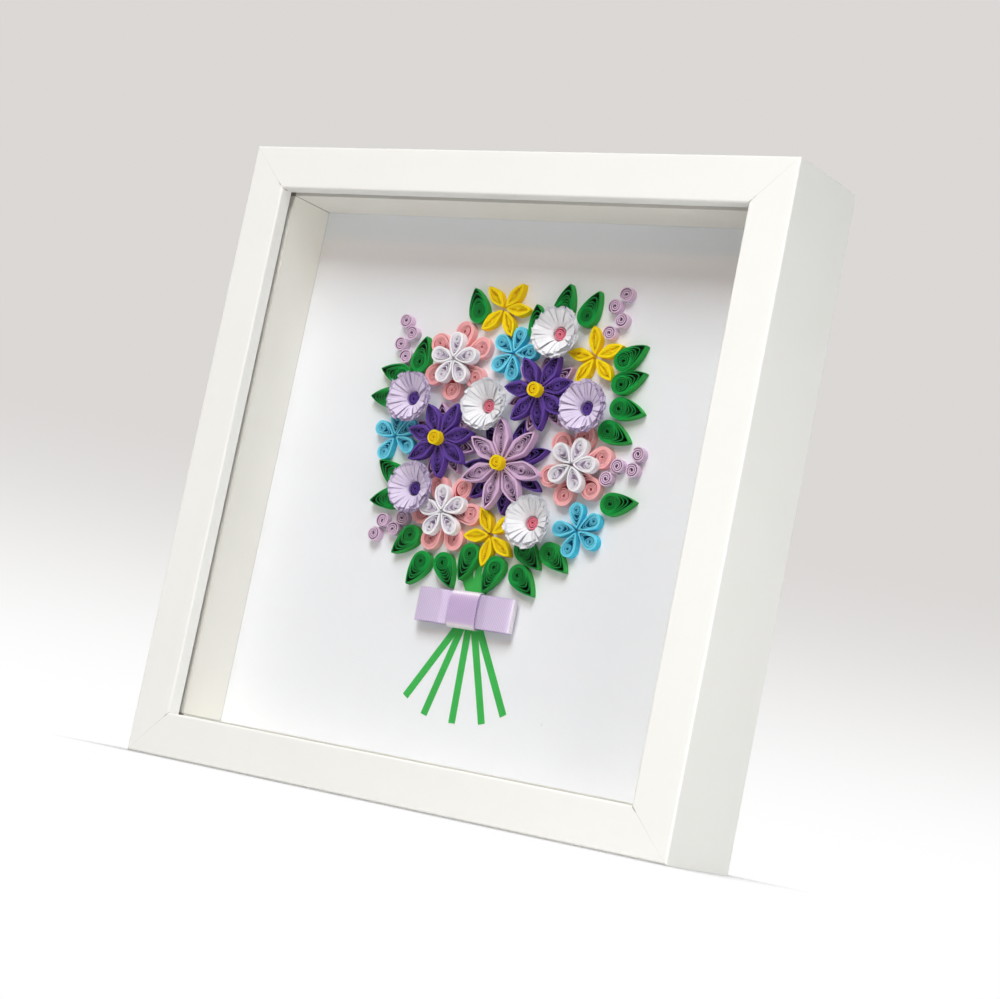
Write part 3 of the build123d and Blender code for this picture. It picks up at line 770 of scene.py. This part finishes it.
def sheet_shell(grid, thickness):
    """A closed shell round a grid of points, rows by columns, half the thickness to each side."""
    rows, columns = grid.shape[:2]
    along = np.gradient(grid, axis=0)
    across = np.gradient(grid, axis=1)
    normal = np.cross(along, across)
    normal /= np.linalg.norm(normal, axis=2, keepdims=True)
    points = np.concatenate([(grid + side * thickness / 2 * normal).reshape(-1, 3) for side in (1, -1)])
    back = rows * columns
    faces = []
    for i in range(rows - 1):
        for j in range(columns - 1):
            a, d = i * columns + j, (i + 1) * columns + j
            b, c = a + 1, d + 1
            faces += [[a, d, c, b], [back + a, back + b, back + c, back + d]]
    rim = list(range(columns))
    rim += [i * columns + columns - 1 for i in range(1, rows)]
    rim += [(rows - 1) * columns + j for j in range(columns - 2, -1, -1)]
    rim += [i * columns for i in range(rows - 2, 0, -1)]
    for this, following in zip(rim, rim[1:] + rim[:1]):
        faces.append([this, following, back + following, back + this])
    return points, faces


# %% Fringes and their centres
FRINGE_CENTRE = Form(5.2, 5.2, 0, (1, 1), (2, 0, 1), (0.6, 1.9), strip=4.1, paper=0.4, sink=0.1)
WHITE_FRINGES = [(21.3, 61.5), (-4.6, 31.2), (25.8, -11.7)]
LILAC_FRINGES = [(-41.0, 31.7), (39.9, 33.9), (-31.4, -3.9)]
PETALS = 23
# Each crown of petals from the outside inwards: root radius, rim radius and rim height
CROWNS = [(3.65, 10.5, 7.5), (3.45, 10.8, 7.9), (3.25, 10.6, 8.5), (3.05, 9.5, 9.1)]
COLLAR = 4.4


def fringe_petal(crown, direction):
    """One slit petal of a crown, from the collar out to its frayed tip."""
    root, rim, rise = crown
    share = np.append(np.linspace(0, 0.96, 8), 1)
    radius = root + (rim * rng.uniform(0.9, 1.0) - root) * share ** rng.uniform(1.1, 1.5)
    height = COLLAR + (rise + rng.uniform(-0.4, 0.3) - COLLAR) * share ** rng.uniform(0.75, 0.95)
    width = 0.52 * tau / PETALS * radius * rng.uniform(0.84, 1.02)
    twist = rng.uniform(-0.45, 0.45) * share
    way = direction + rng.uniform(-0.03, 0.03) + rng.uniform(-0.08, 0.08) * share
    crease = rng.uniform(-0.05, 0.15)
    columns = []
    edges = []
    for side in (-1, -0.84, 0, 0.84, 1):
        angle = way + side * width / radius
        lean = height + side * twist * width - crease * side * side * width
        ragged = radius + (share == 1) * rng.uniform(-0.5, 0.1)
        columns.append(np.column_stack([ragged * np.cos(angle), ragged * np.sin(angle), lean]))
        # Painted shade along the petal's sides and at its tip, for the dark slits between petals.
        edges.append(0.8 * np.where(abs(side) == 1, share > 0.3, share == 1))
    points, faces = sheet_shell(np.stack(columns, axis=1), SHEET)
    return points, faces, np.tile(np.stack(edges, axis=1).ravel(), 2)


def collar(crown):
    """The uncut edge of the rolled strip, a low tube under the petals."""
    root = crown[0]
    angle = np.linspace(0, tau, 49)
    ray = np.column_stack([np.cos(angle), np.sin(angle)])
    low = np.full(len(angle), 0.0)
    high = np.full(len(angle), COLLAR)
    return strip_shell(ray * (root + SHEET / 2), ray * (root - SHEET / 2), low, high)


def fringed_flower(node, place, paper_name):
    shells = []
    for number, crown in enumerate(CROWNS):
        shells.append(collar(crown))
        for petal in range(PETALS):
            shells.append(fringe_petal(crown, (petal + number / len(CROWNS)) * tau / PETALS))
    moved = [(points + np.array([*place, 0.0]), *rest) for points, *rest in shells]
    return piece(f"quilled_{node}", moved, PAPERS[paper_name], paper_name, node)


for colour, heart, places in (("white", "pink", WHITE_FRINGES), ("lilac", "purple", LILAC_FRINGES)):
    for number, place in enumerate(places, 1):
        made = fringed_flower(f"{colour}_fringe_{number}", place, f"{colour}_fringe_paper")
        turned = (*place, rng.uniform(0, 360))
        coils(f"{heart}_centre_{number}", FRINGE_CENTRE, [turned], 0, f"{heart}_paper")
print(f"{len(CROWNS) * PETALS} slit petals on each fringed flower, {len(made.data.polygons)} faces")

# %% [markdown]
# ## Stems
#
# Five flat strips lie on the card and are glued together where they cross under the bow, so here they
# simply pass through each other. They are thin sheets with square-cut ends, and a straight grid is enough.
# Each one rises a little more towards the bow than the one before, so their faces share no plane there.

# %% Stems
STEM_WIDTH = 3.0
STEM_TUCK = 26.0
STEM_SHEET = 0.16
# Each stem: its foot across and above the lower spacer, then where it passes under the bow
STEMS = [
    ((-18.8, 23.3), (-2.0, -55.5)),
    ((-8.6, 17.6), (0.5, -55.5)),
    ((5.0, 16.3), (4.0, -55.0)),
    ((18.5, 18.0), (7.0, -55.0)),
    ((27.4, 22.4), (9.5, -54.5)),
]
window_floor = -window_edge / MM


def stem(number, foot, tie):
    low = np.array([foot[0], window_floor + foot[1]])
    line = np.array(tie) - low
    span = np.linalg.norm(line)
    along = line / span
    side = np.array([-along[1], along[0]])
    reach = np.linspace(0, span + STEM_TUCK, 25)
    columns = []
    for edge in np.linspace(-STEM_WIDTH / 2, STEM_WIDTH / 2, 5):
        spots = low + reach[:, None] * along + edge * side
        rest = STEM_SHEET / 2 + 0.028 * number * np.clip(reach / span, 0, 1) ** 3
        columns.append(np.column_stack([spots, rest]))
    return sheet_shell(np.stack(columns, axis=1)[:, ::-1], STEM_SHEET)


stems = [stem(number, foot, tie) for number, (foot, tie) in enumerate(STEMS)]
piece("paper_stems", stems, PAPERS["stem_paper"], "stem_paper", "stems")
print(f"{len(stems)} stems, {STEM_WIDTH} mm wide")

# %% [markdown]
# ## Bow
#
# The bow is satin ribbon: a flattened loop with a second piece wrapped round its middle. Satin shines in
# bands where it bends, shows a fine slanted weave, and has a firm woven edge of tiny bumps. A cloth
# simulation would hardly move so short and stiff a ribbon, so its path is drawn and the ribbon follows it.
#
# The finish has threads side by side, as a row of fine ridges for the shine, and a slanted line of weave.
# A bend is found by the surface normal again: where it turns away from the front, a near-white highlight is
# painted into the satin's colour.
# The loop and the band lie across each other, so each has its own direction of threads.


# %% Satin
THREAD = 0.3
TWILL = 1.1


def satin(name, flat, highlight_colour, beside, bend):
    """Satin with threads that lie side by side in one direction, and a highlight painted into its colour
    where it bends.
    """
    finish = Finish(name, Metallic=0.2, Specular_IOR_Level=0.8, Sheen_Weight=0.1)
    point, across, _, up = finish.place()
    thread = (across if beside == "across" else up) * (tau / (THREAD * MM))
    ridges = finish.node("ShaderNodeMath", {"operation": "SINE"}, {0: thread})
    slant = (across + 0.8 * up) * (tau / (TWILL * MM))
    twill = finish.node("ShaderNodeMath", {"operation": "SINE"}, {0: slant})
    clouds = finish.noise(point, 0.006, 2.0)
    edge = finish.node("ShaderNodeAttribute", {"attribute_name": "painted_shade_and_picots"}, output="Fac")
    line = finish.ease(twill, -0.6, 0.9)
    # Painted highlight: a near-white colour where the ribbon turns away from the front, the plain colour
    # where it faces out.
    painted_highlight = finish.mix(0.4 * line, paint(*highlight_colour), paint(*[0.93 * level for level in highlight_colour]))
    sheen = finish.mix(0.5 * line, paint(*flat), paint(*[0.88 * level for level in flat]))
    tone = finish.mix(finish.ease(facing_out(finish), *bend), painted_highlight, sheen)
    tone = finish.mix(edge, tone, paint(160, 120, 202))
    finish.set(Base_Color=tone, Roughness=0.3 + 0.1 * clouds)
    finish.set(Normal=finish.bump(ridges, 0.04 * MM))
    return finish


LOOP_SATIN = satin("loop_satin", (228, 208, 244), (250, 240, 254), "up", (0.86, 0.965))
BAND_SATIN = satin("band_satin", (214, 186, 232), (254, 243, 254), "across", (0.88, 1.0))

# %% [markdown]
# The loop's path is a long oval that the band presses together in the middle. The band's path is a
# slightly squared oval round the loop. Both are closed lines, so the sheet is made of rings, and the
# ends of the ribbon meet out of sight at the back.

# %% Ribbon
RIBBON = 0.3
RIBBON_WIDTH = 13.0
BOW_PLACE = (2.9, -47.6)
BOW_LENGTH = 44.8
BOW_OUT = 0.8
BOW_HEIGHT = 4.2
BAND_GAP = 0.5
BAND_ROUND = 0.74
EDGE_BUMP = 0.12
EDGE_PITCH = 0.9


def along_path(path, pitch):
    """Points at an even pitch along a closed line, and the line's length."""
    line = np.vstack([path, path[:1]])
    run = np.concatenate([[0], np.cumsum(np.linalg.norm(np.diff(line, axis=0), axis=1))])
    count = int(run[-1] / pitch)
    spots = np.linspace(0, run[-1], count, endpoint=False)
    return np.column_stack([np.interp(spots, run, line[:, k]) for k in range(line.shape[1])]), run[-1]


def ribbon_shell(path, place_point):
    """A closed ring of ribbon round a path, with woven edges; place_point sets its points on the card."""
    count = len(path)
    tangent = np.roll(path, -1, axis=0) - np.roll(path, 1, axis=0)
    normal = np.column_stack([tangent[:, 1], -tangent[:, 0]])
    normal /= np.linalg.norm(normal, axis=1, keepdims=True)
    bump = EDGE_BUMP * np.cos(np.arange(count) * (tau / 4))
    shares = np.array([-1, -0.96, -0.93, -0.6, -0.2, 0.2, 0.6, 0.93, 0.96, 1])
    outline = [(share, 1) for share in shares] + [(share, -1) for share in shares[::-1]]
    points = []
    for share, side in outline:
        edge = abs(share) == 1
        thick = 0.55 if edge else 1.15 if abs(share) == 0.96 else 1.0
        offset = path + normal * (side * thick * RIBBON / 2)
        width = share * RIBBON_WIDTH / 2 + (np.sign(share) * bump if edge else 0)
        points.append(place_point(offset, np.broadcast_to(width, count)))
    points = np.concatenate(points)
    picots = 0.5 + 0.4 * bump / EDGE_BUMP
    edges = np.concatenate([picots * (abs(share) == 1) for share, side in outline])
    rows = len(outline)
    faces = []
    for row in range(rows):
        this, following = row * count, ((row + 1) % rows) * count
        for i in range(count):
            j = (i + 1) % count
            faces.append([following + i, following + j, this + j, this + i])
    return points, faces, edges


turn = np.linspace(0, tau, 400, endpoint=False)
flat_half = (BOW_LENGTH - RIBBON) / 2
squeeze = np.abs(np.cos(turn)) ** 0.26 * np.sign(np.cos(turn))
across = flat_half * squeeze
pinch = 1 - 0.38 * np.exp(-((across / 9.0) ** 6))
out = (BOW_HEIGHT - RIBBON) / 2 * np.abs(np.sin(turn)) ** 0.42 * np.sign(np.sin(turn)) * pinch
bow_line, loop_length = along_path(np.column_stack([across, out]), EDGE_PITCH / 4)
bow_out = BOW_OUT + BOW_HEIGHT / 2


def loop_point(offset, width):
    pressed = 0.4 * np.exp(-((offset[:, 0] / 9.0) ** 6)) * (2 * width / RIBBON_WIDTH) ** 4
    out_of_card = bow_out + offset[:, 1] * (1 - pressed)
    return np.column_stack([BOW_PLACE[0] + offset[:, 0], BOW_PLACE[1] + width, out_of_card])


bow = piece("ribbon_loop", [ribbon_shell(bow_line, loop_point)], LOOP_SATIN, "ribbon", "bow_loop")
print(f"loop cut from {RIBBON_WIDTH} x {loop_length:.0f} mm of ribbon")

# %% Band
band_up = RIBBON_WIDTH / 2 + BAND_GAP + RIBBON / 2
band_out = BOW_HEIGHT / 2 + RIBBON
band_up_line = band_up * np.abs(np.cos(turn)) ** BAND_ROUND * np.sign(np.cos(turn))
band_out_line = band_out * np.abs(np.sin(turn)) ** BAND_ROUND * np.sign(np.sin(turn))
band_line, band_length = along_path(np.column_stack([band_up_line, band_out_line]), EDGE_PITCH / 4)


def band_point(offset, width):
    return np.column_stack([BOW_PLACE[0] - width, BOW_PLACE[1] + offset[:, 0], bow_out + offset[:, 1]])


band = piece("ribbon_band", [ribbon_shell(band_line, band_point)], BAND_SATIN, "ribbon", "bow_band")
print(f"band cut from {RIBBON_WIDTH} x {band_length:.0f} mm of ribbon")

# %% [markdown]
# ## Floor and light
#
# The frame stands on seamless white, lit from above the viewer. The floor is a plain grey disc that turns
# white to the eye with distance, so no horizon shows, while the shadow near the frame stays. Light that
# bounces still meets the grey disc, so the floor throws less of it up into the box.
#
# A wide cool lamp overhead gives most of the light. A small warm one draws the edge of the lip's shadow on
# the card, a low one lights the frame's side, and one behind the frame lights its back. The world fills
# the rest with a little warm light, and shows a pale backdrop to the camera and in reflections.


# %% Floor
def pale_floor():
    finish = Finish("pale_floor", Base_Color=paint(204, 204, 204), Roughness=0.9, Specular_IOR_Level=0.1)
    _, across, depth, _ = finish.place()
    beside = finish.node("ShaderNodeMath", {"operation": "MAXIMUM"}, {0: abs(across) - half_width, 1: 0.0})
    before = finish.node("ShaderNodeMath", {"operation": "MAXIMUM"}, {0: abs(depth) - cad_box[1].y, 1: 0.0})
    distance = finish.node("ShaderNodeMath", {"operation": "SQRT"}, {0: beside * beside + before * before})
    seen = 0.0
    for ray in ("Is Camera Ray", "Is Glossy Ray", "Is Transmission Ray"):
        seen = seen + finish.node("ShaderNodeLightPath", output=ray)
    shown_white = finish.node("ShaderNodeMath", {"operation": "MINIMUM"}, {0: seen, 1: 1.0})
    far = finish.ease(distance, 0.0, 0.035) * shown_white
    white = finish.node("ShaderNodeEmission", inputs={"Color": (1, 1, 1, 1), "Strength": 1.0})
    finish.show(finish.node("ShaderNodeMixShader", inputs={0: far, 1: finish.surface(), 2: white}))
    return finish


bpy.ops.mesh.primitive_circle_add(vertices=96, radius=6.0, fill_type="NGON", location=(0, 0, 0))
floor = bpy.context.object
floor.name = "floor"
floor.data.materials.append(pale_floor().material)


# %% Lamps
def lamp(name, place, aim, size, watts, colour):
    made = bpy.data.objects.new(name, bpy.data.lights.new(name, "AREA"))
    made.data.size = size
    made.data.energy = watts
    made.data.color = colour
    made.location = place
    made.rotation_mode = "QUATERNION"
    made.rotation_quaternion = (Vector(aim) - Vector(place)).to_track_quat("-Z", "Y")
    made.visible_camera = False
    bpy.context.scene.collection.objects.link(made)


CARD_AIM = (0.0, 0.0085, 0.125)
lamp("overhead_lamp", (0.38, -1.92, 2.36), CARD_AIM, 1.6, 77.0, (0.925, 0.97, 1.0))
lamp("lip_shadow_lamp", (0.10, -1.55, 0.81), CARD_AIM, 0.16, 2.2, (1.0, 0.5, 0.2))
lamp("side_lamp", (0.50, -0.14, 0.015), (0.125, 0.0, 0.03), 0.26, 1.2, (1.0, 0.985, 0.97))
lamp("rear_lamp", (-0.3, 0.9, 0.32), CARD_AIM, 0.4, 7.0, (1.0, 1.0, 1.0))


# %% World
def white_room():
    """Even light, and a backdrop that is white at the floor and pale grey above."""
    world = bpy.data.worlds.new("white_room")
    world.use_nodes = True
    tree = world.node_tree
    make = tree.nodes.new
    direction = make("ShaderNodeTexCoord")
    split = make("ShaderNodeSeparateXYZ")
    tree.links.new(direction.outputs["Generated"], split.inputs[0])
    height = make("ShaderNodeMapRange")
    height.interpolation_type = "SMOOTHSTEP"
    height.inputs["From Max"].default_value = sin(radians(7))
    tree.links.new(split.outputs["Z"], height.inputs["Value"])
    sweep = make("ShaderNodeMix")
    sweep.data_type = "RGBA"
    sweep.inputs[6].default_value = (1, 1, 1, 1)
    sweep.inputs[7].default_value = paint(219, 216, 214)
    tree.links.new(height.outputs[0], sweep.inputs[0])
    backdrop = make("ShaderNodeBackground")
    tree.links.new(sweep.outputs[2], backdrop.inputs["Color"])
    ambient = tree.nodes["Background"]
    ambient.inputs["Color"].default_value = (1.0, 0.965, 0.9, 1)
    ambient.inputs["Strength"].default_value = 0.16
    path = make("ShaderNodeLightPath")
    seen = make("ShaderNodeMath")
    seen.operation = "MAXIMUM"
    tree.links.new(path.outputs["Is Camera Ray"], seen.inputs[0])
    tree.links.new(path.outputs["Is Glossy Ray"], seen.inputs[1])
    through = make("ShaderNodeMath")
    through.operation = "MAXIMUM"
    tree.links.new(seen.outputs[0], through.inputs[0])
    tree.links.new(path.outputs["Is Transmission Ray"], through.inputs[1])
    blend = make("ShaderNodeMixShader")
    tree.links.new(through.outputs[0], blend.inputs[0])
    tree.links.new(ambient.outputs[0], blend.inputs[1])
    tree.links.new(backdrop.outputs[0], blend.inputs[2])
    tree.links.new(blend.outputs[0], tree.nodes["World Output"].inputs["Surface"])
    return world


bpy.context.scene.world = white_room()
bpy.context.scene.view_settings.view_transform = "Standard"
print("lit")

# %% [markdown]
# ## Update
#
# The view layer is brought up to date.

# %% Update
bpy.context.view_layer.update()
